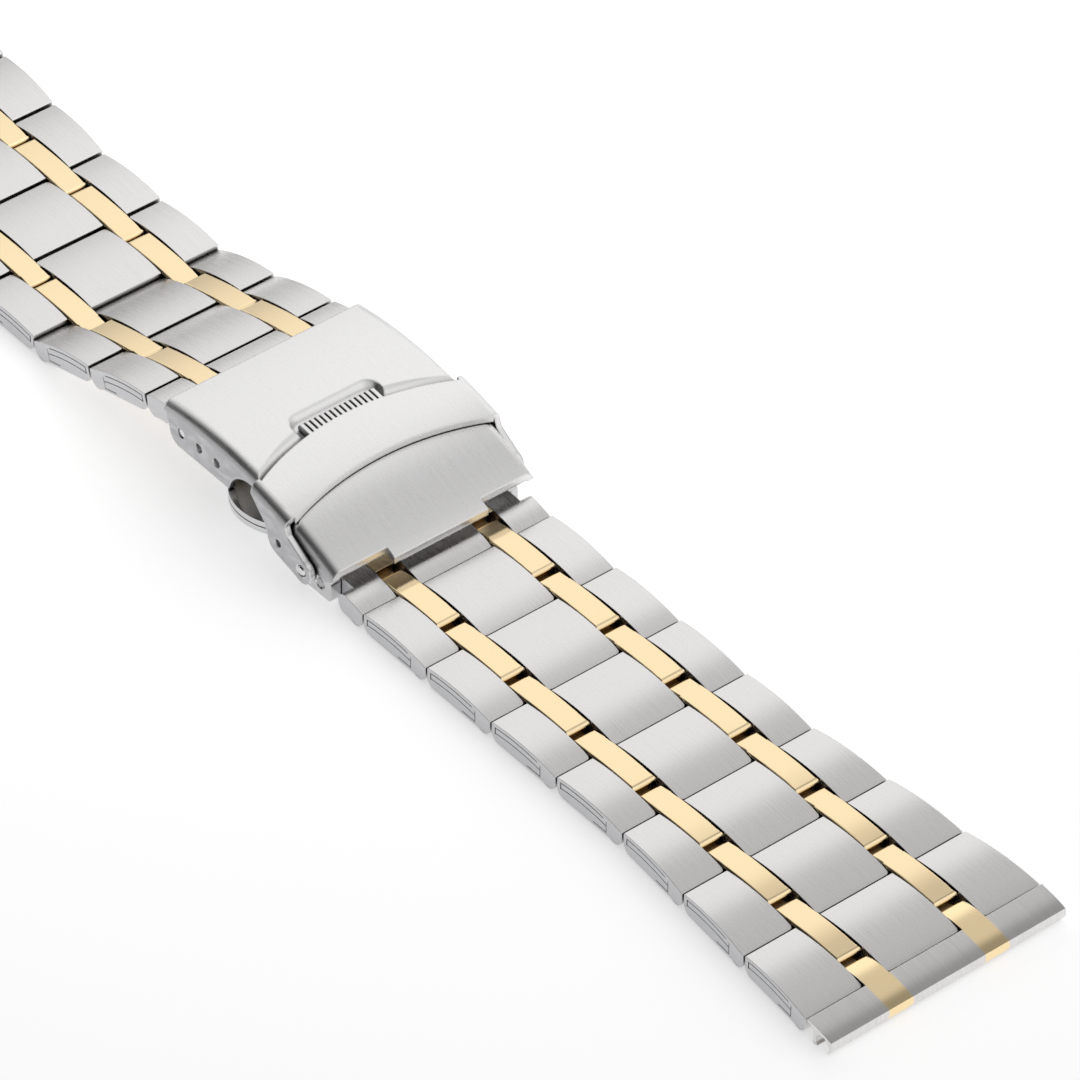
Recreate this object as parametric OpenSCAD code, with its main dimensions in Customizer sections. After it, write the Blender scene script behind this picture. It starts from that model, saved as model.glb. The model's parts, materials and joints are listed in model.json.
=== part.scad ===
// Two-tone folded-link watch bracelet with a fold-over clasp and a safety catch.
// Millimetres. +X runs along the bracelet to the lower strand, +Y across it, +Z is up.
// The origin is on the table, below the middle of the laid-out bracelet.

/* [Rows of links] */
// Distance from one hinge pin to the next
pitch = 8.3; // [7.8:0.05:8.8]
// Number of full rows in each strand
row_count = 7; // [5:1:7]
// Number of rows at the end of a strand that widen
flared_rows = 3; // [1:1:4]
// Width of the rows beside the clasp
strap_w = 19.6; // [18.8:0.1:19.6]
// Width of the end pieces, which fit between the lugs
lug_w = 24; // [22:0.5:26]
// Width of the middle steel link
centre_w = 7.4; // [6.4:0.1:8.2]
// Width of the space that a gold link has
gold_w = 2.5; // [2:0.1:3]
// Gap at each side of a gold link
side_gap = 0.06; // [0.04:0.01:0.1]
// Gap between the end of one row and the start of the next
end_gap = 0.24; // [0.2:0.01:0.3]
// Greatest height of a steel link above its hinge pin
crown_h = 1.25; // [1.15:0.01:1.35]
// Radius of the curved top of a steel link
crown_r = 21; // [17:1:30]
// Radius of the rolled end round the hinge pin
barrel_r = 0.95; // [0.88:0.01:1]
// Depth of a link's flat underside below its hinge pin
belly_h = 0.8; // [0.72:0.01:0.86]
// Thickness of the sheet that the steel links are folded from
fold_t = 0.34; // [0.28:0.01:0.4]
// Width of the seam between two folded layers
fold_gap = 0.07; // [0.05:0.01:0.1]
// Greatest height of a gold link above its hinge pin
gold_h = 1.2; // [1.1:0.01:1.25]
// Reach of a gold link back past its hinge pin
gold_tail = 1.6; // [1.45:0.01:1.65]
// Gap between one gold link and the next
gold_gap = 0.45; // [0.4:0.01:0.7]
// Radius of a gold link's rounded tail and far end
gold_end_r = 0.42; // [0.3:0.02:0.5]

/* [Pins] */
// Diameter of the pins in the rows
pin_d = 1; // [0.8:0.05:1.05]
// Radial clearance of a pin in a part that turns on it
pin_play = 0.05; // [0.03:0.01:0.08]
// Radial clearance of a pin in a part that is fixed to it
pin_seat = 0.02; // [0.01:0.005:0.03]
// Steel left over the end of a pin at the side of a row
pin_cap = 0.5; // [0.3:0.05:0.8]

/* [Half rows] */
// Distance between the two pins of the lower half row
half_pitch = 4.7; // [4.6:0.05:5]
// Distance from the spring bar to the hinge pin of the upper half row
bar_pitch = 4.6; // [4.5:0.05:5]
// Length of the full-width part of a half row, up to its hinge pin
wide_l = 2.2; // [2:0.05:2.3]
// Radius of the lower half row's end in the bracket
tongue_r = 0.88; // [0.8:0.01:0.92]
// Radius of the upper half row's end round the spring bar
bar_end_r = 1.1; // [1:0.05:1.2]
// Rise of the upper half row towards the clasp, in degrees
half_rise = 6.4; // [4:0.2:8]

/* [End pieces] */
// Length of an end piece, from its hinge pin to its nose
end_l = 4.1; // [4:0.05:4.6]
// Radius of the rolled nose of an end piece
nose_r = 1.1; // [1:0.05:1.2]
// Diameter of the channel for the spring bar at the lug
channel_d = 1.56; // [1.4:0.02:1.6]
// Thickness of the sheet over and beside the channel
end_sheet = 0.34; // [0.3:0.01:0.45]

/* [Clasp cover] */
// Radius of the cover's curve along the bracelet
cover_r = 38; // [36:0.5:40]
// Height of the cover's highest point above the table
cover_h = 8.3; // [8.2:0.05:8.5]
// Thickness of the cover's sheet
cover_t = 0.6; // [0.5:0.05:0.65]
// Outside width of the cover
cover_w = 20.9; // [20.9:0.1:21.3]
// Radius of the bend along the cover's sides
bend_r = 0.9; // [0.7:0.05:1]
// Upper end of the cover
cover_x0 = -11.7; // [-12.2:0.1:-11.6]
// Lower end of the cover at its sides
cover_x1 = 11; // [10.8:0.1:11.2]
// How far the middle of the lower end stands out
cover_lip = 1; // [0.5:0.1:1.2]
// Width of the middle of the lower end
cover_lip_w = 9.8; // [9:0.1:10.4]
// Height of the straight lower edge of the side flange
flange_h = 4.25; // [4.25:0.05:4.5]
// Radius of the arch cut in the flange for the finger tabs
arch_r = 2.95; // [2.9:0.05:3.2]
// Diameter of the adjustment holes
adjust_d = 0.9; // [0.9:0.05:1]
// Distance between adjustment holes
adjust_pitch = 2.4; // [2.3:0.1:2.6]
// Number of adjustment holes
adjust_count = 3; // [1:1:3]

/* [Safety catch] */
// Width over the catch's ears
catch_w = 22.4; // [22.3:0.1:23]
// Thickness of the catch's sheet
catch_t = 0.55; // [0.45:0.05:0.6]
// Clearance between the catch and the cover below it
catch_gap = 0.1; // [0.06:0.01:0.12]
// Radius, seen from above, of the catch's upper edge
catch_up_r = 24.6; // [22:0.2:28]
// Radius, seen from above, of the catch's lower edge
catch_low_r = 30; // [27:0.5:34]
// Width of the slope down into the channel that holds the catch
channel_slope = 0.5; // [0.4:0.05:0.7]
// Upper edge of the catch on the centre line
catch_x0 = -0.9; // [-1.2:0.1:-0.7]
// Lower edge of the catch on the centre line
catch_x1 = 4.1; // [3.9:0.1:4.3]
// Width of the ribbed finger tab
tab_w = 7.7; // [6.5:0.1:8.3]
// Reach of the ribbed finger tab past the catch's upper edge
tab_l = 1.2; // [1:0.05:1.4]
// Distance between ribs
rib_pitch = 0.52; // [0.45:0.01:0.6]
// Depth of the grooves between ribs
rib_h = 0.2; // [0.1:0.01:0.25]

/* [Folding blades] */
// Place of the catch and blade pivot along the bracelet
pivot_x = 7.7; // [7.6:0.05:7.8]
// Height of the catch and blade pivot
pivot_h = 2.88; // [2.85:0.01:2.95]
// Diameter of the pivot pins
pivot_d = 0.9; // [0.8:0.05:0.95]
// Radius of the knuckles of the blades
knuckle_r = 0.8; // [0.75:0.01:0.84]
// Place of the hinge between the two blades along the bracelet
fold_x = -9.3; // [-9.5:0.05:-9.1]
// Thickness of a blade
blade_t = 0.55; // [0.45:0.05:0.6]
// Gap between the folded blades
blade_gap = 0.1; // [0.08:0.01:0.15]
// Width of the blades
blade_w = 14; // [12:0.5:15]
// Radius of the blades' curve along the bracelet
blade_r = 46; // [44:1:50]
// Width over the finger tabs of the blades
grip_w = 22.5; // [22:0.1:22.8]
// Radius, seen from above, of a blade's finger tab
grip_r = 4.8; // [4.4:0.1:5.2]
// Thickness of the bracket's side walls
bracket_t = 1; // [0.8:0.05:1.1]
// Place of the bracket's pin along the bracelet
bracket_x = 8.3; // [8.25:0.05:8.5]

/* [Spring bar] */
// Diameter of the spring bar's tube
bar_d = 1.3; // [1.25:0.05:1.35]
// Diameter of the spring bar's tips
tip_d = 0.8; // [0.7:0.05:0.8]
// Length of a spring bar's tip
tip_l = 3.4; // [3:0.1:4]

/* [Hidden] */
$fn = 64;
steel = [0.80, 0.80, 0.81];
bright = [0.88, 0.88, 0.89];
dark_steel = [0.62, 0.62, 0.64];
gold = [0.93, 0.77, 0.50];
sides = ["lower", "upper"];

function row_names(s) =
    [for (i = [1:row_count]) for (p = ["steel", "gold", "pins"]) str(s, "_row_", i, "_", p)];
function half_names(s) = [for (p = ["steel", "gold", "pin"]) str(s, "_half_row_", p)];
function strand_names(s) = concat(half_names(s), row_names(s), [str(s, "_end_piece")]);

// Half widths, outwards from the centre line
centre_y = centre_w / 2;
outer_y = centre_y + gold_w;
strap_y = strap_w / 2;
lug_y = lug_w / 2;

// Steel links: the crown's top and the second pin are placed back from the far hinge pin
face_x = barrel_r + end_gap;
edge_r = 0.12;
corner_lift = 0.01;
link_round = 0.35;
crown_back = 3.65;
crown_x = pitch - crown_back;
bind_back = 4.4;
bind_x = pitch - bind_back;
slot_x = face_x + 0.38;
slot_w = 0.12;
slot_h = 0.66;
fold_x1 = pitch - barrel_r - fold_gap;
fold_z = 0.57;
fold_l = 1.6;
mid_seam = 0.9;
pin_r = pin_d / 2;
run_r = pin_r + pin_play;
seat_r = pin_r + pin_seat;
function crown_z(x) = crown_h - crown_r + sqrt(pow(crown_r, 2) - pow(x - crown_x, 2));

// Gold links: a rounded tail and a rounded far end under a flatter crown
gold_crown_r = 43;
gold_crown_x = 4;
gold_belly = 0.78;
gold_end_x = pitch - gold_tail - gold_gap;
gold_round = 0.2;
tail_round = 0.35;
tail_x = gold_end_r - gold_tail;
function gold_top(x) = gold_h - gold_crown_r + sqrt(pow(gold_crown_r, 2) - pow(x - gold_crown_x, 2));

// Half rows
half_crown_h = 1.2;
half_crown_r = 11.25;
half_crown_back = 2.1;
wide_start_r = 1.06;
wide_start_z = 0.15;
bar_end_gap = 0.25;
bar_y = cover_w / 2 - cover_t - bar_end_gap;
tube_r = bar_d / 2;
bar_x = -9.36;
bar_h = 5.85;
tip_y = cover_w / 2 - 0.1;
tip_in = tip_y - tip_l;
spring_play = 0.02;
spring_wire = 0.13;

// End pieces
end_crown_r = 12;
end_crown_x = 0.4;
end_crown_h = 0.99;
flap_t = 0.3;
arm_in = 0.5;
channel_x = end_l - end_sheet - channel_d / 2;
function end_top(x) = end_crown_h - end_crown_r + sqrt(pow(end_crown_r, 2) - pow(x - end_crown_x, 2));

// Places of the hinge pins along the two strands
axis_h = barrel_r;
bracket_lift = 0.3;
bracket_h = axis_h + bracket_lift;
half_drop = asin((bracket_h - axis_h) / half_pitch);
low_x = bracket_x + half_pitch * cos(half_drop);
up_x = bar_x - bar_pitch * cos(half_rise);
up_h = bar_h - bar_pitch * sin(half_rise);
sloped_rows = 2;
slope = asin((up_h - axis_h) / (sloped_rows * pitch));
function upper_x(i) = up_x - pitch * (cos(slope) * min(i - 1, sloped_rows) + max(i - 1 - sloped_rows, 0));
function upper_z(i) = up_h - pitch * sin(slope) * min(i - 1, sloped_rows);
function upper_tilt(i) = i <= sloped_rows ? slope : 0;

// Half width of the strand at the far pin of row k
function flank(k) = strap_y + (lug_y - strap_y) * max(k - row_count + flared_rows, 0) / flared_rows;

// Clasp
cover_top_x = -5.5;
low_top_x = -4.5;
arc_z = cover_h - cover_r;
arch_angle = 76;
low_r = cover_r - catch_t - catch_gap;
channel_gap = 0.25;
recess_gap = 0.2;
recess_in = 1;
recess_round = 0.5;
slope_h = 0.52;
tab_round = 0.35;
function low_top(x) = arc_z + sqrt(pow(low_r, 2) - pow(x - low_top_x, 2));
function cover_top(x) = arc_z + sqrt(pow(cover_r, 2) - pow(x - low_top_x, 2));
flange_x0 = -11.45;
flange_round = 1.3;
flange_x1 = 6.3;
flange_in = 0.5;
rear_drop = 1.3;
heel_l = 0.9;
heel_h = 0.05;
toe_h = 0.57;
toe_drop = 1.05;
lobe_r = 1.15;
arch_h = 3.65;
catch_hole = [4.66, 3.8];
catch_hole_d = 0.75;
// Corners of the catch's ear: its upper edge, its foot and its lower edge
ear_up = [[1.07, 6.8], [2.1, 5.66], [2.88, 4.89], [3.2, 3.9]];
ear_foot = [[4.28, 2.58], [7.6, 1.72]];
ear_low = [[8.75, 3.6], [5.9, 5.3], [5.6, 6.1], [5.93, 7.47]];
ear_lobe = [4.66, 3.95];
ear_lobe_r = 1.42;
ear_r = 1.2;
sink = 0.12;
blade_top_x = -1.5;
blade_top = 3.83;
blade_z = blade_top - blade_r;
under_r = blade_r - blade_t - blade_gap;
fold_h = blade_z + sqrt(pow(blade_r, 2) - pow(fold_x - blade_top_x, 2));
fold_y = 3.4;
notch_gap = 0.15;
grip_x = -0.4;
bracket_y1 = cover_w / 2 - cover_t - 0.1;
bracket_y0 = bracket_y1 - bracket_t;
tongue_y = bracket_y0 - 0.06;
bracket_x0 = 4.2;
bracket_x1 = bracket_x + 1.5;
bracket_top = 2.25;
bracket_foot = 6.5;
bracket_round = 0.45;
ramp_x0 = 3;
ramp_in = 0.2;
ramp_x1 = 6.6;
ramp_h1 = 0.55;
ramp_h0 = blade_z + sqrt(pow(under_r, 2) - pow(ramp_x0 - blade_top_x, 2));
// Depth of the blocks that the bent sheets are cut from, and lengths past everything
ring_in = 9;
half_all = 13;
high = 12;

// Turns a side view (x, z) into a solid from y0 to y1
module slab(y0, y1) {
    translate([0, y1, 0]) rotate([90, 0, 0]) linear_extrude(y1 - y0) children();
}

// Turns a section (radius, y) into a ring about an axis across the bracelet
module ring(x, z) {
    translate([x, 0, z]) rotate([90, 0, 0]) rotate_extrude($fn = 360) children();
}

// The upper part of such a ring, over the angle arch_angle
module arch(x, z) {
    translate([x, 0, z]) rotate([90, 0, 0]) rotate([0, 0, 90 - arch_angle / 2])
        rotate_extrude(angle = arch_angle, $fn = 360) children();
}

module both_sides() {
    children();
    mirror([0, 1, 0]) children();
}

module rod(x, z, r, y0, y1) {
    translate([x, y1, z]) rotate([90, 0, 0]) cylinder(h = y1 - y0, r = r);
}

// A pin across the bracelet whose ends, at y = end and -end, are turned down to a blunt point
module blunt_pin(x, z, r, end) {
    rod(x, z, r, sink - end, end - sink);
    both_sides() translate([x, end - sink, z]) rotate([-90, 0, 0]) cylinder(h = sink, r1 = r, r2 = r - sink);
}

// Countersinks of a hole of radius r at y and -y
module countersinks(x, z, r, y) {
    both_sides() translate([x, y - sink, z]) rotate([-90, 0, 0])
        cylinder(h = 2 * sink, r1 = r, r2 = r + 2 * sink);
}

// Section of a bent sheet: a block of outer radius r with rounded shoulders
module shoulders(r, half_w, round, depth) {
    translate([r - depth, -half_w]) square([depth - round, 2 * half_w]);
    translate([r - depth, round - half_w]) square([depth, 2 * (half_w - round)]);
    for (s = [-1, 1]) translate([r - round, s * (half_w - round)]) circle(round);
}

// A rectangle from (0, -w / 2) to (l, w / 2) whose far corners are rounded
module far_rounded(l, w, round) {
    translate([0, -w / 2]) square([l - round, w]);
    translate([0, round - w / 2]) square([l, w - 2 * round]);
    for (s = [-1, 1]) translate([l - round, s * (w / 2 - round)]) circle(round);
}

// Side view of the rolled end round the hinge pin at x, with a shoulder up to a crown of radius r
// whose centre lies at crown_at. The corner's rounding stands a little out of the crown.
module rolled_end(x, r, crown_at) {
    corner_x = x + barrel_r - edge_r;
    corner_z = crown_at[1] + sqrt(pow(r - edge_r, 2) - pow(corner_x - crown_at[0], 2)) + corner_lift;
    translate([x, 0]) circle(barrel_r);
    translate([x, 0]) square([barrel_r - edge_r, crown_h]);
    translate([x, 0]) square([barrel_r, corner_z]);
    translate([corner_x, corner_z]) circle(edge_r);
}

// Side view of a folded steel link, with its clasp-side hinge pin at the origin
module link_outline() {
    corner_z = crown_z(face_x + edge_r) - edge_r;
    intersection() {
        translate([crown_x, crown_h - crown_r]) circle(crown_r, $fn = 360);
        union() {
            rolled_end(pitch, crown_r, [crown_x, crown_h - crown_r]);
            translate([face_x + belly_h, 0]) circle(belly_h);
            translate([face_x + belly_h, -belly_h]) square([pitch - face_x - belly_h, belly_h]);
            translate([face_x, 0]) square([pitch - face_x, corner_z]);
            translate([face_x + edge_r, 0]) square([pitch - face_x - edge_r, crown_h]);
            translate([face_x + edge_r, corner_z]) circle(edge_r);
        }
    }
}

// Seam between folded layers, at a depth below the crown
module seam(depth, x0, x1) {
    intersection() {
        translate([crown_x, crown_h - crown_r]) difference() {
            circle(crown_r - depth, $fn = 360);
            circle(crown_r - depth - fold_gap, $fn = 360);
        }
        translate([x0, 0]) square([x1 - x0, crown_h]);
    }
}

// Side view of the seams that the folding leaves in a steel link
module link_seams() {
    seam(fold_t, slot_x, fold_x1 - fold_t);
    seam(mid_seam, slot_x, fold_x1 + fold_gap);
    translate([slot_x, 0]) square([slot_w, slot_h]);
    translate([fold_x1, -fold_z]) square([fold_gap, 2 * fold_z]);
    translate([fold_x1 - fold_l, -fold_z]) square([fold_l, fold_gap]);
}

// Seen from above, the outer steel link of row i, which ends at the side of the bracelet
module outer_plan(i) {
    far = pitch + barrel_r;
    polygon([[face_x, outer_y], [face_x, flank(i - 1)], [far, flank(i)], [far, outer_y + link_round],
        [far - link_round, outer_y]]);
    translate([far - link_round, outer_y + link_round]) circle(link_round);
}

module row_pins(i) {
    color(dark_steel) {
        end = flank(i - 1) - pin_cap;
        rod(pitch, 0, pin_r, -end, end);
        rod(bind_x, 0, pin_r, -end, end);
    }
}

module row_bores(i) {
    end = flank(i - 1) - pin_cap + pin_play;
    rod(pitch, 0, seat_r, -end, end);
    rod(bind_x, 0, seat_r, -end, end);
}

module row_steel(i) {
    color(steel) {
        difference() {
            intersection() {
                slab(-centre_y, centre_y) difference() {
                    link_outline();
                    link_seams();
                }
                translate([0, 0, -high]) linear_extrude(2 * high)
                    far_rounded(pitch + barrel_r, centre_w, link_round);
            }
            row_bores(i);
        }
        both_sides() difference() {
            intersection() {
                slab(outer_y, flank(i)) difference() {
                    link_outline();
                    link_seams();
                }
                translate([0, 0, -high]) linear_extrude(2 * high) outer_plan(i);
            }
            row_bores(i);
        }
    }
}

// Side view of the rounded tail behind a hinge pin, under the height top
module tail_outline(top) {
    translate([tail_x, top - gold_end_r]) circle(gold_end_r);
    translate([tail_x, gold_end_r - gold_belly]) circle(gold_end_r);
    translate([-gold_tail, gold_end_r - gold_belly])
        square([gold_end_r, top + gold_belly - 2 * gold_end_r]);
}

// Side view of a gold link from its tail to x1
module gold_outline(x1) {
    end_x = x1 - gold_end_r;
    end_z = gold_top(end_x) - gold_end_r;
    intersection() {
        translate([gold_crown_x, gold_h - gold_crown_r]) circle(gold_crown_r, $fn = 360);
        union() {
            tail_outline(gold_top(tail_x));
            translate([tail_x, -gold_belly]) square([end_x - tail_x, gold_belly + gold_h]);
            translate([end_x, -gold_belly]) square([gold_end_r, gold_belly + end_z]);
            translate([end_x, end_z]) circle(gold_end_r);
        }
    }
}

// A gold link's body with rounded long edges and a tail that is rounded seen from above
module gold_body(x1) {
    half_w = gold_w / 2 - side_gap;
    translate([0, (centre_y + outer_y) / 2, 0]) intersection() {
        slab(-half_w, half_w) gold_outline(x1);
        ring(gold_crown_x, gold_h - gold_crown_r) shoulders(gold_crown_r, half_w, gold_round, ring_in);
        translate([x1, 0, -high]) linear_extrude(2 * high)
            mirror([1, 0]) far_rounded(x1 + gold_tail, 2 * half_w, tail_round);
    }
}

module row_gold() {
    color(gold) both_sides() difference() {
        gold_body(gold_end_x);
        rod(0, 0, run_r, centre_y, outer_y);
        rod(bind_x, 0, seat_r, centre_y, outer_y);
    }
}

// Side view of a half row of length l whose clasp-side end has radius r
module half_outline(l, r) {
    crown_at = [l - half_crown_back, half_crown_h - half_crown_r];
    intersection() {
        translate(crown_at) circle(half_crown_r, $fn = 360);
        union() {
            rolled_end(l, half_crown_r, crown_at);
            circle(r);
            translate([0, -belly_h]) square([l, belly_h + half_crown_h]);
        }
    }
}

// Side view of the full-width part of a half row
module half_wide_outline(l, r) {
    start = l - wide_l + wide_start_r;
    intersection() {
        half_outline(l, r);
        union() {
            translate([start, wide_start_z]) circle(wide_start_r);
            translate([start, -high]) square([wide_l + nose_r, 2 * high]);
        }
    }
}

module half_steel(l, r, side_y, bore_r) {
    color(steel) {
        difference() {
            slab(-centre_y, centre_y) half_outline(l, r);
            rod(0, 0, bore_r, -strap_y, strap_y);
            rod(l, 0, seat_r, -strap_y, strap_y);
        }
        both_sides() difference() {
            union() {
                slab(outer_y, side_y) half_outline(l, r);
                slab(outer_y, strap_y) half_wide_outline(l, r);
            }
            rod(0, 0, bore_r, 0, lug_y);
            rod(l, 0, seat_r, 0, strap_y - pin_cap + pin_play);
        }
    }
}

module half_gold(l, r, bore_r) {
    half_w = gold_w / 2 - side_gap;
    mid_y = (centre_y + outer_y) / 2;
    color(gold) both_sides() difference() {
        slab(mid_y - half_w, mid_y + half_w) intersection() {
            half_outline(l, r);
            translate([-r, -high]) square([l - gold_tail - gold_gap + r, 2 * high]);
        }
        rod(0, 0, bore_r, 0, strap_y);
    }
}

module half_pin(l) {
    end = strap_y - pin_cap;
    color(dark_steel) rod(l, 0, pin_r, -end, end);
}

module end_crown() {
    translate([end_crown_x, end_crown_h - end_crown_r]) circle(end_crown_r, $fn = 360);
}

// Side view of an end piece: top sheet, rolled nose and an open channel for a spring bar
module end_outline() {
    channel_z = end_top(channel_x) - end_sheet - channel_d / 2;
    flap_x = channel_x - channel_d / 2 - flap_t;
    difference() {
        intersection() {
            end_crown();
            union() {
                translate([face_x, -axis_h]) square([end_l - nose_r - face_x, axis_h + end_crown_h]);
                intersection() {
                    translate([end_l - nose_r, 0]) circle(nose_r);
                    translate([end_l - 2 * nose_r, -axis_h]) square([2 * nose_r, 2 * nose_r]);
                }
            }
        }
        translate([channel_x, channel_z]) circle(channel_d / 2);
        translate([0, -high]) square([flap_x, high + end_crown_h - end_sheet]);
    }
}

// Side view of the end piece's arm, which turns on the last row's pin
module end_arm_outline() {
    intersection() {
        end_crown();
        union() {
            tail_outline(end_top(tail_x));
            translate([tail_x, -gold_belly]) square([face_x - tail_x + arm_in, gold_belly + end_crown_h]);
        }
    }
}

module end_piece() {
    color(steel) difference() {
        union() {
            slab(-lug_y, lug_y) end_outline();
            both_sides() slab(centre_y + side_gap, outer_y - side_gap) end_arm_outline();
        }
        rod(0, 0, run_r, -outer_y, outer_y);
    }
}

// Seen from above, the recess round the catch's tab, grown by g, from z on
module recess_plate(z, g) {
    translate([catch_x0 + recess_in, 0, z]) mirror([1, 0, 0]) linear_extrude(0.01)
        far_rounded(tab_l + recess_gap + recess_in + g, tab_w + 2 * g, recess_round + g, $fn = 32);
}

// What the channel under the catch and the recess round its tab take from the cover's upper form.
// Their sides slope, steeply at first. The shape is grown by g, for the sheet's inner side.
module channel_cut(g) {
    r0 = catch_up_r + channel_gap + g / 3;
    r1 = r0 + channel_slope;
    r2 = r1 + channel_slope;
    z0 = low_top(catch_x0 + recess_in) - g;
    z1 = z0 + slope_h;
    recess_z = low_top(catch_x0 - tab_l) - g;
    grow = r0 - catch_up_r;
    translate([catch_x0 + catch_up_r, 0, 0]) {
        cylinder(h = z0, r = r0, $fn = 360);
        translate([0, 0, z0]) cylinder(h = slope_h, r1 = r0, r2 = r1, $fn = 360);
        translate([0, 0, z1]) cylinder(h = slope_h / 2, r1 = r1, r2 = r2, $fn = 360);
        translate([0, 0, z1 + slope_h / 2]) cylinder(h = high, r = r2, $fn = 360);
    }
    hull() {
        recess_plate(recess_z - slope_h, grow - channel_slope / 2);
        recess_plate(recess_z + slope_h, grow + channel_slope);
    }
    hull() {
        recess_plate(recess_z + slope_h, grow + channel_slope);
        recess_plate(recess_z + slope_h * 1.5, grow + 2 * channel_slope);
        recess_plate(high, grow + 2 * channel_slope);
    }
}

// The cover's outer form, shrunk by g. Its lower part lies deeper, to hold the catch.
module cover_form(g) {
    difference() {
        arch(cover_top_x, arc_z) shoulders(cover_r - g, cover_w / 2 - g, bend_r - g, ring_in);
        channel_cut(g);
    }
    arch(low_top_x, arc_z) shoulders(low_r - g, cover_w / 2 - g, bend_r - g, ring_in);
}

// Side view of the cover and its flanges
module cover_side() {
    under = flange_h + flange_round;
    foot_x = flange_x0 + flange_in + flange_round;
    heel = [cover_x1 - heel_l, pivot_h + heel_h];
    toe = [cover_x1, pivot_h + toe_h];
    end_x = cover_x1 + 2 * cover_lip;
    difference() {
        union() {
            polygon([[cover_x0, high], [cover_x0, cover_h - rear_drop], [flange_x0, cover_h - rear_drop],
                [flange_x0 + flange_in, under], [foot_x, under], [foot_x, flange_h],
                [flange_x1, flange_h], [pivot_x, pivot_h], heel, toe, [end_x, toe[1] - toe_drop],
                [end_x, high]]);
            translate([foot_x, under]) circle(flange_round);
        }
        translate([0, arch_h]) circle(arch_r);
    }
    translate([pivot_x, pivot_h]) circle(lobe_r);
}

module clasp_cover() {
    color(steel) difference() {
        intersection() {
            difference() {
                cover_form(0);
                cover_form(cover_t);
            }
            slab(-half_all, half_all) cover_side();
            linear_extrude(high) union() {
                translate([cover_x0, -half_all]) square([cover_x1 - cover_x0, 2 * half_all]);
                translate([0, -cover_lip_w / 2]) square([cover_x1 + cover_lip, cover_lip_w]);
            }
        }
        for (i = [0:adjust_count - 1])
            rod(bar_x + i * adjust_pitch, bar_h, adjust_d / 2, -half_all, half_all);
        rod(pivot_x, pivot_h, pivot_d / 2 + pin_play, -half_all, half_all);
    }
}

// Side view of the catch's ear
module ear_outline() {
    polygon(concat([[ear_up[0][0], high]], ear_up, [catch_hole], ear_foot, [[pivot_x, pivot_h]], ear_low,
        [[ear_low[len(ear_low) - 1][0], high]]));
    translate(ear_lobe) circle(ear_lobe_r);
    translate([pivot_x, pivot_h]) circle(ear_r);
}

// Section of the grooves between the ribs of the finger tab
module rib_grooves() {
    count = floor(tab_w / rib_pitch) - 1;
    groove = rib_pitch / 3;
    for (i = [0:count])
        translate([cover_r - rib_h, (i - count / 2) * rib_pitch - groove / 2]) square([2 * rib_h, groove]);
}

// Side view of what the finger tab's rounded front edge lacks
module tab_front() {
    x = catch_x0 - tab_l;
    z = cover_top(x) - tab_round;
    difference() {
        translate([x - tab_round, z]) square(2 * tab_round);
        translate([x + tab_round, z]) circle(tab_round);
    }
}

module safety_catch() {
    color(steel) difference() {
        intersection() {
            difference() {
                ring(low_top_x, arc_z) shoulders(cover_r, catch_w / 2, bend_r, ring_in);
                ring(low_top_x, arc_z)
                    shoulders(cover_r - catch_t, catch_w / 2 - catch_t, bend_r - catch_t, 2 * ring_in);
            }
            union() {
                translate([0, 0, flange_h]) linear_extrude(high) intersection() {
                    translate([-lug_w, bend_r - catch_w / 2]) square([2 * lug_w, catch_w - 2 * bend_r]);
                    difference() {
                        union() {
                            translate([catch_x0 + catch_up_r, 0]) circle(catch_up_r, $fn = 360);
                            translate([catch_x0 - tab_l, -tab_w / 2]) square([tab_l + recess_in, tab_w]);
                        }
                        translate([catch_x1 + catch_low_r, 0]) circle(catch_low_r, $fn = 360);
                    }
                }
                both_sides() slab(catch_w / 2 - bend_r, half_all) ear_outline();
            }
        }
        rod(pivot_x, pivot_h, pivot_d / 2 + pin_play, -half_all, half_all);
        countersinks(pivot_x, pivot_h, pivot_d / 2 + pin_play, catch_w / 2);
        rod(catch_hole[0], catch_hole[1], catch_hole_d / 2, -half_all, half_all);
        slab(-tab_w, tab_w) tab_front();
        intersection() {
            ring(low_top_x, arc_z) rib_grooves();
            linear_extrude(high) difference() {
                translate([catch_x0 - 2 * tab_l, -half_all]) square([4 * tab_l, 2 * half_all]);
                translate([catch_x0 + catch_up_r, 0]) circle(catch_up_r, $fn = 360);
            }
        }
    }
}

// A curved blade at mid radius r from x0 to x1, with finger tabs at its sides
module blade_sheet(r, x0, x1) {
    intersection() {
        ring(blade_top_x, blade_z) translate([r - blade_t / 2, -half_all]) square([blade_t, 2 * half_all]);
        linear_extrude(high) union() {
            translate([x0, -blade_w / 2]) square([x1 - x0, blade_w]);
            for (s = [-1, 1]) translate([grip_x, s * (grip_w / 2 - grip_r)]) circle(grip_r, $fn = 96);
        }
    }
}

module middle_blade() {
    color(bright) difference() {
        union() {
            blade_sheet(blade_r, fold_x, pivot_x);
            rod(pivot_x, pivot_h, knuckle_r, -tongue_y, tongue_y);
            rod(fold_x, fold_h, knuckle_r, -blade_w / 2, blade_w / 2);
        }
        translate([fold_x - 2 * knuckle_r, -fold_y - notch_gap / 2, 0])
            cube([3 * knuckle_r + notch_gap, 2 * fold_y + notch_gap, high]);
        rod(pivot_x, pivot_h, pivot_d / 2 + pin_seat, -half_all, half_all);
        rod(fold_x, fold_h, pivot_d / 2 + pin_seat, -half_all, half_all);
    }
}

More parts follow.
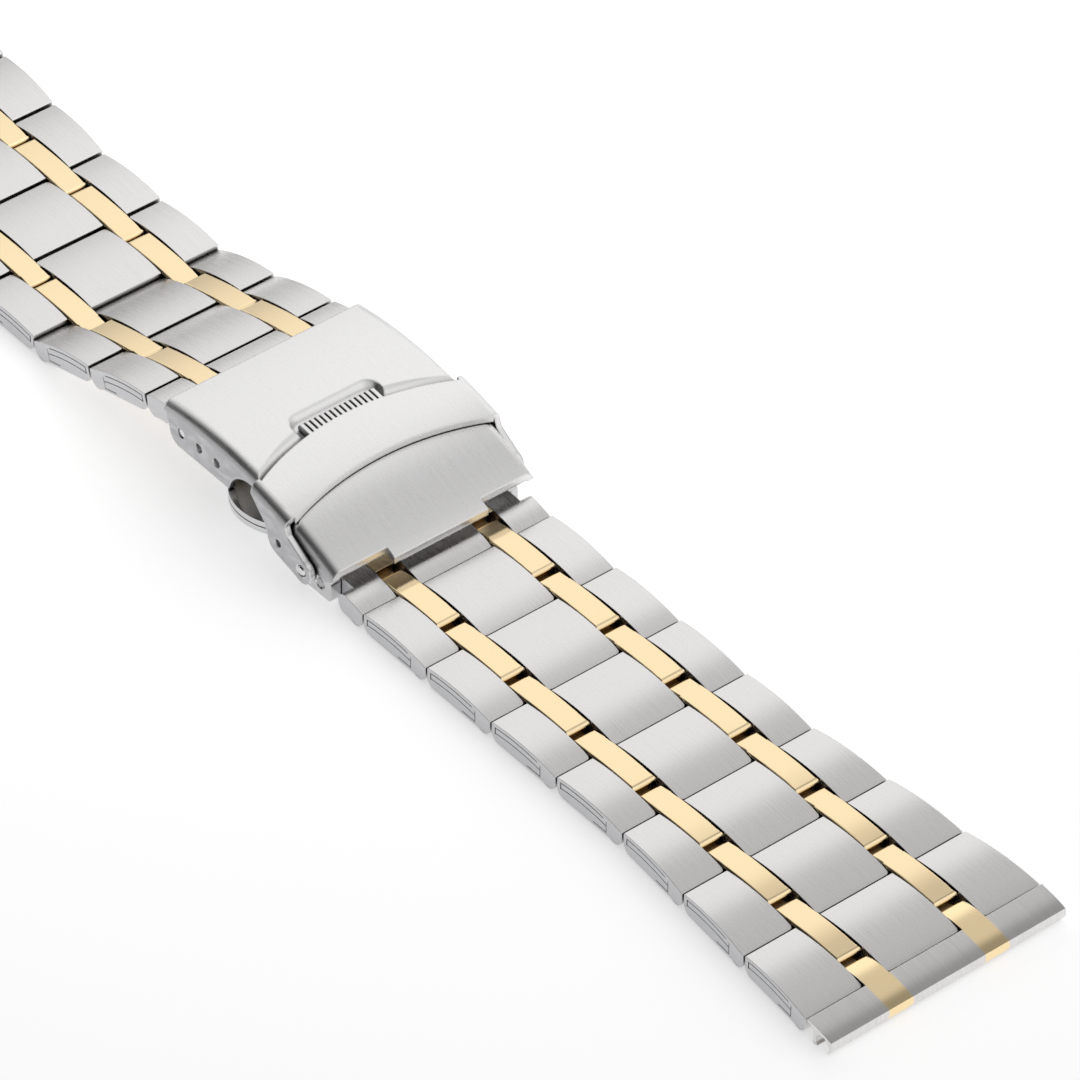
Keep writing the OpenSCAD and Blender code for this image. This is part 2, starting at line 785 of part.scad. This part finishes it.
module lower_blade() {
    color(bright) difference() {
        union() {
            difference() {
                blade_sheet(under_r, fold_x, ramp_x0 + ramp_in);
                both_sides() translate([fold_x - 2 * knuckle_r, fold_y - notch_gap / 2, 0])
                    cube([3 * knuckle_r + notch_gap, half_all, high]);
            }
            rod(fold_x, fold_h, knuckle_r, notch_gap / 2 - fold_y, fold_y - notch_gap / 2);
            slab(-bracket_y1, bracket_y1) polygon([[ramp_x0, ramp_h0 - blade_t / 2],
                [ramp_x0, ramp_h0 + blade_t / 2], [ramp_x1, ramp_h1 + blade_t / 2],
                [ramp_x1, ramp_h1 - blade_t / 2]]);
            both_sides() slab(bracket_y0, bracket_y1) bracket_outline();
        }
        rod(fold_x, fold_h, pivot_d / 2 + pin_play, -half_all, half_all);
        rod(bracket_x, bracket_h, seat_r, -half_all, half_all);
        countersinks(bracket_x, bracket_h, seat_r, bracket_y1);
    }
}

// Side view of a wall of the bracket, with a rounded foot and a rounded upper corner
module bracket_outline() {
    in_x = bracket_x1 - bracket_round;
    up_z = bracket_top - bracket_round;
    polygon([[bracket_x0, bracket_top - blade_t], [bracket_x0, bracket_top], [in_x, bracket_top],
        [in_x, up_z], [bracket_x1, up_z], [bracket_x1, bracket_round], [in_x, bracket_round],
        [in_x, 0], [bracket_foot, 0]]);
    translate([in_x, up_z]) circle(bracket_round);
    translate([in_x, bracket_round]) circle(bracket_round);
}

module blade_pins() {
    color(bright) {
        blunt_pin(pivot_x, pivot_h, pivot_d / 2, catch_w / 2 + pin_play);
        rod(fold_x, fold_h, pivot_d / 2, -blade_w / 2, blade_w / 2);
    }
}

module bracket_pin() {
    color(dark_steel) blunt_pin(bracket_x, bracket_h, pin_r, bracket_y1);
}

// The spring bar: a tube with a tip that slides in at each end
module spring_bar_tube() {
    color(dark_steel) difference() {
        rod(bar_x, bar_h, tube_r, -bar_y, bar_y);
        rod(bar_x, bar_h, tip_d / 2 + pin_play, -half_all, half_all);
    }
}

module spring_bar_tip() {
    color(bright) rod(bar_x, bar_h, tip_d / 2, tip_in, tip_y);
}

module spring_bar_spring() {
    color(bright) difference() {
        rod(bar_x, bar_h, tip_d / 2 - spring_play, -tip_in, tip_in);
        rod(bar_x, bar_h, tip_d / 2 - spring_play - spring_wire, -tip_in, tip_in);
    }
}

// Puts a child made with its clasp-side pin at the origin in its place in a strand
module at_row(s, i) {
    if (s == "lower")
        translate([low_x + (i - 1) * pitch, 0, axis_h]) children();
    else
        translate([upper_x(i), 0, upper_z(i)]) rotate([0, upper_tilt(i), 180]) children();
}

module at_half(s) {
    if (s == "lower")
        translate([bracket_x, 0, bracket_h]) rotate([0, half_drop, 0]) children();
    else
        translate([bar_x, 0, bar_h]) rotate([0, half_rise, 180]) children();
}

module half_part(s, p) {
    l = s == "lower" ? half_pitch : bar_pitch;
    r = s == "lower" ? tongue_r : bar_end_r;
    side_y = s == "lower" ? tongue_y : bar_y;
    bore_r = s == "lower" ? run_r : tube_r + pin_play;
    at_half(s) {
        if (p == "steel") half_steel(l, r, side_y, bore_r);
        if (p == "gold") half_gold(l, r, bore_r);
        if (p == "pin") half_pin(l);
    }
}

module row_part(s, i, p) {
    at_row(s, i) {
        if (p == "steel") row_steel(i);
        if (p == "gold") row_gold();
        if (p == "pins") row_pins(i);
    }
}

clasp_cover();
safety_catch();
middle_blade();
lower_blade();
blade_pins();
bracket_pin();
spring_bar_tube();
spring_bar_spring();
spring_bar_tip();  // spring_bar_tip_far
mirror([0, 1, 0]) spring_bar_tip();  // spring_bar_tip_near
for (s = sides) for (p = ["steel", "gold", "pin"])
    half_part(s, p);
for (s = sides) for (i = [1:row_count]) for (p = ["steel", "gold", "pins"])
    row_part(s, i, p);
for (s = sides)
    at_row(s, row_count + 1) end_piece();
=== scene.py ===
"""Two-tone watch bracelet: brushed folded links, polished gold-plated links and a fold-over clasp."""

import json
import math

import bpy
from mathutils import Matrix, Vector


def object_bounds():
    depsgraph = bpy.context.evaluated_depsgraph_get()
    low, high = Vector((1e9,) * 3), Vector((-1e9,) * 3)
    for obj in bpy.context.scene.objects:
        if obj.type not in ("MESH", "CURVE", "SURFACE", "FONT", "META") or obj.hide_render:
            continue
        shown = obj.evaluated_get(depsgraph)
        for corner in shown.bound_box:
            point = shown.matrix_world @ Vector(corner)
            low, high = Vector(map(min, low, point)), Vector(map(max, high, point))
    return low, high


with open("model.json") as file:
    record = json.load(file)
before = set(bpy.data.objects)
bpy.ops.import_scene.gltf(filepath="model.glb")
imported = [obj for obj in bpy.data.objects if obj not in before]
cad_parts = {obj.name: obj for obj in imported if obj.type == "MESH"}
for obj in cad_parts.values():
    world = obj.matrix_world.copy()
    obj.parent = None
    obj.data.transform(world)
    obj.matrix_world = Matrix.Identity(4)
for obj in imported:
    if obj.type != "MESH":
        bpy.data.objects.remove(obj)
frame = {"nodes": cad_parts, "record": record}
cad_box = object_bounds()
nodes = frame["nodes"]
scene = bpy.context.scene

MM = 0.001

# An abrasive belt's scratches, coarser than real ones so that they show
SCRATCH_LENGTH = 5 * MM
SCRATCH_SPACING = 0.09 * MM
SCRATCH_DEPTH = 2 * MM
SCRATCH_RELIEF = 0.003 * MM
# The part of the noise's range that the scratches' contrast uses
SCRATCH_RANGE = (0.3, 0.7)
BRUSHED_ANISOTROPY = 0.85

# Painted shade in gaps and corners reaches this far out of a gap, and is full and gone at these
# shares of open sky
PAINTED_SHADE_REACH = 0.8 * MM
PAINTED_SHADE_FULL, PAINTED_SHADE_GONE = 0.2, 0.75
# Dark colours painted into gaps and corners as shade, on steel, gold and the end pieces
STEEL_PAINTED_SHADE = "#4A4846"
GOLD_PAINTED_SHADE = "#4A2A10"
END_PIECE_PAINTED_SHADE = "#4A4038"

# The stripes on an end piece, from the centre line out: where plating starts and ends
STRIPE_START = (3.6 * MM, 3.8 * MM)
STRIPE_END = (6.0 * MM, 6.3 * MM)

# The photograph's camera, in pixels of the 1080-pixel picture
PHOTO_WIDTH_PX = 1080
FOCAL_LENGTH_PX = 8001
SENSOR_WIDTH_MM = 36


def linear(hex_colour):
    """sRGB hex to the linear RGBA that shaders take."""
    parts = [int(hex_colour[i : i + 2], 16) / 255 for i in (1, 3, 5)]
    return [c / 12.92 if c <= 0.04045 else ((c + 0.055) / 1.055) ** 2.4 for c in parts] + [1.0]


def add(tree, kind, inputs=None, links=None, **settings):
    """Adds a shader node with its settings, its input values and its links."""
    node = tree.nodes.new(kind)
    for name, value in settings.items():
        setattr(node, name, value)
    for name, value in (inputs or {}).items():
        node.inputs[name].default_value = value
    for name, socket in (links or {}).items():
        tree.links.new(socket, node.inputs[name])
    return node


def new_material(name):
    """An empty material and its node tree."""
    material = bpy.data.materials.new(name)
    material.use_nodes = True
    tree = material.node_tree
    tree.nodes.clear()
    return material, tree


def finish_material(tree, shader):
    add(tree, "ShaderNodeOutputMaterial", links={"Surface": shader.outputs[0]})


def across_the_brushing(tree):
    """Direction across the bracelet, in which brushed steel spreads its reflections."""
    across = add(tree, "ShaderNodeCombineXYZ", {"Y": 1.0})
    return add(
        tree,
        "ShaderNodeVectorTransform",
        links={"Vector": across.outputs[0]},
        vector_type="VECTOR",
        convert_from="OBJECT",
        convert_to="WORLD",
    )


def belt_scratches(tree, place):
    """Fine scratches along the bracelet. They reach some way into the pattern's depth, so that they
    run on unbroken over a link's crown."""
    stretched = add(
        tree,
        "ShaderNodeMapping",
        {"Scale": (1 / SCRATCH_LENGTH, 1 / SCRATCH_SPACING, 1 / SCRATCH_DEPTH)},
        {"Vector": place.outputs["Object"]},
    )
    return add(
        tree,
        "ShaderNodeTexNoise",
        {"Scale": 1.0, "Detail": 2.0, "Roughness": 0.55},
        {"Vector": stretched.outputs[0]},
    )


def scratched_colour(tree, scratches, dark_hex, pale_hex):
    """Steel's colour, from dark in the scratches to pale between them."""
    colour = add(tree, "ShaderNodeValToRGB", links={"Fac": scratches.outputs["Fac"]})
    for stop, position, hex_colour in zip(
        colour.color_ramp.elements, SCRATCH_RANGE, (dark_hex, pale_hex)
    ):
        stop.position, stop.color = position, linear(hex_colour)
    return colour


def scratched_relief(tree, scratches, edge_mm):
    """Edges rounded to a radius, and the scratches' relief on top."""
    edge = add(tree, "ShaderNodeBevel", {"Radius": edge_mm * MM}, samples=6)
    return add(
        tree,
        "ShaderNodeBump",
        {"Strength": 0.3, "Distance": SCRATCH_RELIEF},
        {"Height": scratches.outputs["Fac"], "Normal": edge.outputs[0]},
    )


def colour_with_painted_shade(tree, shade_hex, unshaded_hex=None, unshaded_socket=None):
    """The unshaded colour, darkened with painted shade in gaps and corners, where little open sky
    reaches the surface.
    The unshaded colour is one hex value or another node's socket."""
    open_sky = add(
        tree,
        "ShaderNodeAmbientOcclusion",
        {"Color": linear("#FFFFFF"), "Distance": PAINTED_SHADE_REACH},
        samples=8,
    )
    unshaded_share = add(
        tree,
        "ShaderNodeMapRange",
        {"From Min": PAINTED_SHADE_FULL, "From Max": PAINTED_SHADE_GONE},
        {"Value": open_sky.outputs["AO"]},
    )
    inputs, links = {"A": linear(shade_hex)}, {"Factor": unshaded_share.outputs[0]}
    if unshaded_hex:
        inputs["B"] = linear(unshaded_hex)
    else:
        links["B"] = unshaded_socket
    return add(tree, "ShaderNodeMix", inputs, links, data_type="RGBA").outputs["Result"]


def brushed_stainless(name, dark_hex, pale_hex, shaded_side_hex, side_roughness, edge_mm):
    """304 stainless steel sheet, brushed along the bracelet with a fine abrasive belt, with its
    narrow sides left as tumbling leaves them, with their own roughness. The scratches spread the
    reflections across the bracelet and leave fine pale and grey lines along it. The sides are
    painted greyer as shade, and gaps and corners are darkened with painted shade."""
    material, tree = new_material(name)
    place = add(tree, "ShaderNodeTexCoord")
    scratches = belt_scratches(tree, place)
    colour = scratched_colour(tree, scratches, dark_hex, pale_hex)
    # How far a face turns to the side of the bracelet, from brushed to tumbled; it sets the sides'
    # roughness and their painted shade
    facing = add(tree, "ShaderNodeSeparateXYZ", links={0: place.outputs["Normal"]})
    side = add(tree, "ShaderNodeMath", links={0: facing.outputs["Y"]}, operation="ABSOLUTE")
    tumbled_and_shaded = add(
        tree,
        "ShaderNodeMapRange",
        {"From Min": 0.8, "From Max": 0.97},
        {"Value": side.outputs[0]},
    )
    # Sides painted darker, as shade
    tone = add(
        tree,
        "ShaderNodeMix",
        {"B": linear(shaded_side_hex)},
        {"Factor": tumbled_and_shaded.outputs[0], "A": colour.outputs["Color"]},
        data_type="RGBA",
    )
    # A belt leaves its scratches unevenly rough
    rough_brushed = add(
        tree,
        "ShaderNodeMapRange",
        {
            "From Min": SCRATCH_RANGE[0],
            "From Max": SCRATCH_RANGE[1],
            "To Min": 0.25,
            "To Max": 0.33,
        },
        {"Value": scratches.outputs["Fac"]},
    )
    rough = add(
        tree,
        "ShaderNodeMix",
        {"B": side_roughness},
        {"Factor": tumbled_and_shaded.outputs[0], "A": rough_brushed.outputs[0]},
        data_type="FLOAT",
    )
    shader = add(
        tree,
        "ShaderNodeBsdfPrincipled",
        {"Metallic": 1.0, "Anisotropic": BRUSHED_ANISOTROPY},
        {
            # Base colour with shade painted into gaps and corners
            "Base Color": colour_with_painted_shade(tree, STEEL_PAINTED_SHADE, unshaded_socket=tone.outputs["Result"]),
            "Roughness": rough.outputs["Result"],
            "Normal": scratched_relief(tree, scratches, edge_mm).outputs[0],
            "Tangent": across_the_brushing(tree).outputs[0],
        },
    )
    finish_material(tree, shader)
    return material


def gold_plated():
    """Stainless steel, mirror polished and gold plated. It reflects sharply, pale where it meets
    white and orange where gold faces gold."""
    material, tree = new_material("gold_plate_polished")
    place = add(tree, "ShaderNodeTexCoord")
    # Faint waviness that the polishing mop leaves, about 2 mm
    waves = add(
        tree,
        "ShaderNodeTexNoise",
        {"Scale": 1 / (2 * MM), "Detail": 1.0},
        {"Vector": place.outputs["Object"]},
    )
    rough = add(
        tree,
        "ShaderNodeMapRange",
        {"To Min": 0.08, "To Max": 0.14},
        {"Value": waves.outputs["Fac"]},
    )
    edge = add(tree, "ShaderNodeBevel", {"Radius": 0.06 * MM}, samples=4)
    bump = add(
        tree,
        "ShaderNodeBump",
        {"Strength": 0.2, "Distance": 0.01 * MM},
        {"Height": waves.outputs["Fac"], "Normal": edge.outputs[0]},
    )
    shader = add(
        tree,
        "ShaderNodeBsdfPrincipled",
        {"Metallic": 1.0},
        {
            # Gold colour with shade painted into gaps and corners
            "Base Color": colour_with_painted_shade(tree, GOLD_PAINTED_SHADE, unshaded_hex="#F5DEB4"),
            "Roughness": rough.outputs["Result"],
            "Normal": bump.outputs[0],
        },
    )
    finish_material(tree, shader)
    return material


def two_tone_end():
    """End piece: brushed stainless steel with two stripes of gold plating that carry on the lines
    of gold links. The plating thins out at the stripes' edges."""
    material, tree = new_material("stainless_brushed_gold_striped")
    place = add(tree, "ShaderNodeTexCoord")
    scratches = belt_scratches(tree, place)
    steel = scratched_colour(tree, scratches, "#DEDCDB", "#EAE9E8")
    at = add(tree, "ShaderNodeSeparateXYZ", links={0: place.outputs["Object"]})
    off_centre = add(tree, "ShaderNodeMath", links={0: at.outputs["Y"]}, operation="ABSOLUTE")
    inner = add(
        tree,
        "ShaderNodeMapRange",
        {"From Min": STRIPE_START[0], "From Max": STRIPE_START[1]},
        {"Value": off_centre.outputs[0]},
    )
    outer = add(
        tree,
        "ShaderNodeMapRange",
        {"From Min": STRIPE_END[0], "From Max": STRIPE_END[1], "To Min": 1.0, "To Max": 0.0},
        {"Value": off_centre.outputs[0]},
    )
    plating = add(
        tree,
        "ShaderNodeMath",
        links={0: inner.outputs[0], 1: outer.outputs[0]},
        operation="MULTIPLY",
    )
    colour = add(
        tree,
        "ShaderNodeMix",
        {"B": linear("#FFE7B8")},
        {"Factor": plating.outputs[0], "A": steel.outputs["Color"]},
        data_type="RGBA",
    )
    # The plating is smoother than the brushed steel
    rough = add(
        tree,
        "ShaderNodeMapRange",
        {"To Min": 0.3, "To Max": 0.16},
        {"Value": plating.outputs[0]},
    )
    shader = add(
        tree,
        "ShaderNodeBsdfPrincipled",
        {"Metallic": 1.0, "Anisotropic": BRUSHED_ANISOTROPY},
        {
            # End piece colour with shade painted into gaps and corners
            "Base Color": colour_with_painted_shade(
                tree, END_PIECE_PAINTED_SHADE, unshaded_socket=colour.outputs["Result"]
            ),
            "Roughness": rough.outputs["Result"],
            "Normal": scratched_relief(tree, scratches, 0.06).outputs[0],
            "Tangent": across_the_brushing(tree).outputs[0],
        },
    )
    finish_material(tree, shader)
    return material


def polished_stainless(name, hex_colour, low, high):
    """Stainless steel polished on a mop, with a roughness between low and high. It mirrors what is
    round it, with a slight haze."""
    material, tree = new_material(name)
    place = add(tree, "ShaderNodeTexCoord")
    # The haze comes in patches of about 0.8 mm
    haze = add(
        tree,
        "ShaderNodeTexNoise",
        {"Scale": 1 / (0.8 * MM), "Detail": 2.0},
        {"Vector": place.outputs["Object"]},
    )
    rough = add(
        tree, "ShaderNodeMapRange", {"To Min": low, "To Max": high}, {"Value": haze.outputs["Fac"]}
    )
    edge = add(tree, "ShaderNodeBevel", {"Radius": 0.05 * MM}, samples=4)
    shader = add(
        tree,
        "ShaderNodeBsdfPrincipled",
        {"Metallic": 1.0, "Base Color": linear(hex_colour)},
        {"Roughness": rough.outputs["Result"], "Normal": edge.outputs[0]},
    )
    finish_material(tree, shader)
    return material


links_finish = brushed_stainless(
    "stainless_belt_brushed_links",
    dark_hex="#DDDBDA",
    pale_hex="#E9E8E7",
    # Colour the sides are painted to, as shade
    shaded_side_hex="#C8C8CA",
    side_roughness=0.22,
    edge_mm=0.08,
)
clasp_finish = brushed_stainless(
    "stainless_belt_brushed_clasp",
    dark_hex="#E5E4E3",
    pale_hex="#EFEEEE",
    # Colour the sides are painted to, as shade
    shaded_side_hex="#C6C6C8",
    side_roughness=0.4,
    edge_mm=0.22,
)
finishes = {
    "brushed_steel": links_finish,
    "gold_plate": gold_plated(),
    "polished_steel": polished_stainless("stainless_mop_polished", "#DEDEDF", 0.1, 0.18),
    "blade_steel": polished_stainless("stainless_blade_sheet", "#CFCFD0", 0.14, 0.24),
    "pin_steel": polished_stainless("stainless_drawn_wire", "#B5B5B8", 0.3, 0.4),
}
end_finish = two_tone_end()
own_finish = {
    "clasp_cover": clasp_finish,
    "safety_catch": clasp_finish,
    "lower_end_piece": end_finish,
    "upper_end_piece": end_finish,
}
slots = {p["node"]: p["material_slot"] for p in frame["record"]["subparts"]}
for name, node in nodes.items():
    for place in node.material_slots:
        place.material = own_finish.get(name, finishes[slots[name]])


def pale_floor():
    """Matt white studio paper, evenly lit. The camera, metal and glass see it nearly white, with
    the bracelet's shadow on it."""
    material, tree = new_material("studio_paper_white")
    paper = add(tree, "ShaderNodeBsdfDiffuse", {"Color": linear("#E8E8E8")})
    path = add(tree, "ShaderNodeLightPath")
    seen = path.outputs["Is Camera Ray"]
    for other in ("Is Glossy Ray", "Is Transmission Ray"):
        seen = add(
            tree,
            "ShaderNodeMath",
            links={0: seen, 1: path.outputs[other]},
            operation="MAXIMUM",
        ).outputs[0]
    paper_glow = 0.55
    strength = add(tree, "ShaderNodeMath", {1: paper_glow}, {0: seen}, operation="MULTIPLY")
    glow = add(tree, "ShaderNodeEmission", links={"Strength": strength.outputs[0]})
    shader = add(tree, "ShaderNodeAddShader", links={0: paper.outputs[0], 1: glow.outputs[0]})
    finish_material(tree, shader)
    side, gap_below = 4, 0.1 * MM
    bpy.ops.mesh.primitive_plane_add(size=side, location=(0, 0, cad_box[0][2] - gap_below))
    floor = bpy.context.object
    floor.name = "studio_floor"
    floor.data.materials.append(material)


def light_by_direction(tree, measure, start, end, low, high):
    """Brightness that turns smoothly from low to high as a measure of the direction goes from start
    to end."""
    return add(
        tree,
        "ShaderNodeMapRange",
        {"From Min": start, "From Max": end, "To Min": low, "To Max": high},
        {"Value": measure},
        interpolation_type="SMOOTHSTEP",
    ).outputs[0]


def studio_tent():
    """Soft light from all round, as in a white tent, brighter and darker by direction."""
    world = bpy.data.worlds.new("studio_tent")
    scene.world = world
    world.use_nodes = True
    tree = world.node_tree
    tree.nodes.clear()
    place = add(tree, "ShaderNodeTexCoord")
    part = add(tree, "ShaderNodeSeparateXYZ", links={0: place.outputs["Generated"]})

    def along(direction):
        return add(
            tree,
            "ShaderNodeVectorMath",
            {1: Vector(direction).normalized()},
            {0: place.outputs["Generated"]},
            operation="DOT_PRODUCT",
        ).outputs["Value"]

    def both(operation, one, other):
        return add(tree, "ShaderNodeMath", links={0: one, 1: other}, operation=operation).outputs[0]

    def lobe(direction, inner, outer, low, high):
        """High within the inner half angle and low outside the outer one, in degrees."""
        edges = [math.cos(math.radians(angle)) for angle in (outer, inner)]
        return light_by_direction(tree, along(direction), *edges, low, high)

    # Dim overhead and towards the upper strand, brighter towards the lower strand's end
    wall = light_by_direction(tree, part.outputs["X"], 0.1, 0.4, 0.3, 0.65)
    # The window above the lower strand's end
    wall = both("ADD", wall, lobe((0.65, 0.5, 0.57), 5, 45, 0.0, 0.4))
    # The tent's dark opening, on the near side
    wall = both("MULTIPLY", wall, lobe((-0.5, -0.75, 0.42), 30, 62, 1.0, 0.06))
    shader = add(
        tree, "ShaderNodeBackground", {"Color": linear("#FFFFFF")}, {"Strength": wall}
    )
    add(tree, "ShaderNodeOutputWorld", links={"Surface": shader.outputs[0]})


def soft_box():
    """Soft box that leans over the upper strand, which the tops of the links mirror. It fades out
    at its edges, so that a link darkens where it curves down."""
    top, foot = Vector((60, 0, 136)) * MM, Vector((-230, 0, 10)) * MM
    near_y, far_y = -90 * MM, 330 * MM
    radiance = 0.8
    data = bpy.data.lights.new("soft_box", "AREA")
    data.shape = "RECTANGLE"
    data.size = (foot - top).length
    data.size_y = far_y - near_y
    data.energy = radiance * math.pi * data.size * data.size_y
    data.use_nodes = True
    tree = data.node_tree
    tree.nodes.clear()
    place = add(tree, "ShaderNodeNewGeometry")
    part = add(tree, "ShaderNodeSeparateXYZ", links={0: place.outputs["Parametric"]})
    # X goes from 0 at the foot to 1 at the top, and Y from the near side to the far one. Each fade
    # says where it starts and ends, and its brightness there.
    fades = [
        # The foot
        light_by_direction(tree, part.outputs["X"], -0.1, 0.5, 0.0, 1.0),
        # The dimmer upper part, which the clasp's lower half mirrors
        light_by_direction(tree, part.outputs["X"], 0.695, 0.77, 1.0, 0.45),
        # The top edge
        light_by_direction(tree, part.outputs["X"], 0.93, 0.99, 1.0, 0.0),
        # The near side
        light_by_direction(tree, part.outputs["Y"], 0.03, 0.3, 0.0, 1.0),
    ]
    total = fades[0]
    for fade in fades[1:]:
        total = add(
            tree, "ShaderNodeMath", links={0: total, 1: fade}, operation="MULTIPLY"
        ).outputs[0]
    glow = add(tree, "ShaderNodeEmission", links={"Strength": total})
    add(tree, "ShaderNodeOutputLight", links={"Surface": glow.outputs[0]})
    lamp = bpy.data.objects.new("soft_box", data)
    scene.collection.objects.link(lamp)
    rise = (top - foot).normalized()
    across = Vector((0, 1, 0))
    middle = (top + foot) / 2 + across * (near_y + far_y) / 2
    turn = Matrix((rise, across, rise.cross(across))).transposed()
    lamp.matrix_world = Matrix.Translation(middle) @ turn.to_4x4()
    lamp.visible_camera = False


def photograph_camera():
    """The photograph's camera, fitted to the corners of the rows' seams."""
    right = Vector((0.628605, 0.777715, 0.003782)).normalized()
    forward = Vector((-0.584661, 0.475732, -0.657153)).normalized()
    up = right.cross(forward).normalized()
    place = Vector((399.220, -304.732, 432.672)) * MM
    data = bpy.data.cameras.new("photograph_camera")
    data.sensor_width = SENSOR_WIDTH_MM
    data.lens = SENSOR_WIDTH_MM * FOCAL_LENGTH_PX / PHOTO_WIDTH_PX
    data.clip_start = 0.01
    data.clip_end = 20
    camera = bpy.data.objects.new("photograph_camera", data)
    scene.collection.objects.link(camera)
    turn = Matrix((right, up, -forward)).transposed()
    camera.matrix_world = Matrix.Translation(place) @ turn.to_4x4()
    scene.camera = camera


pale_floor()
studio_tent()
soft_box()
photograph_camera()
scene.view_settings.view_transform = "Standard"
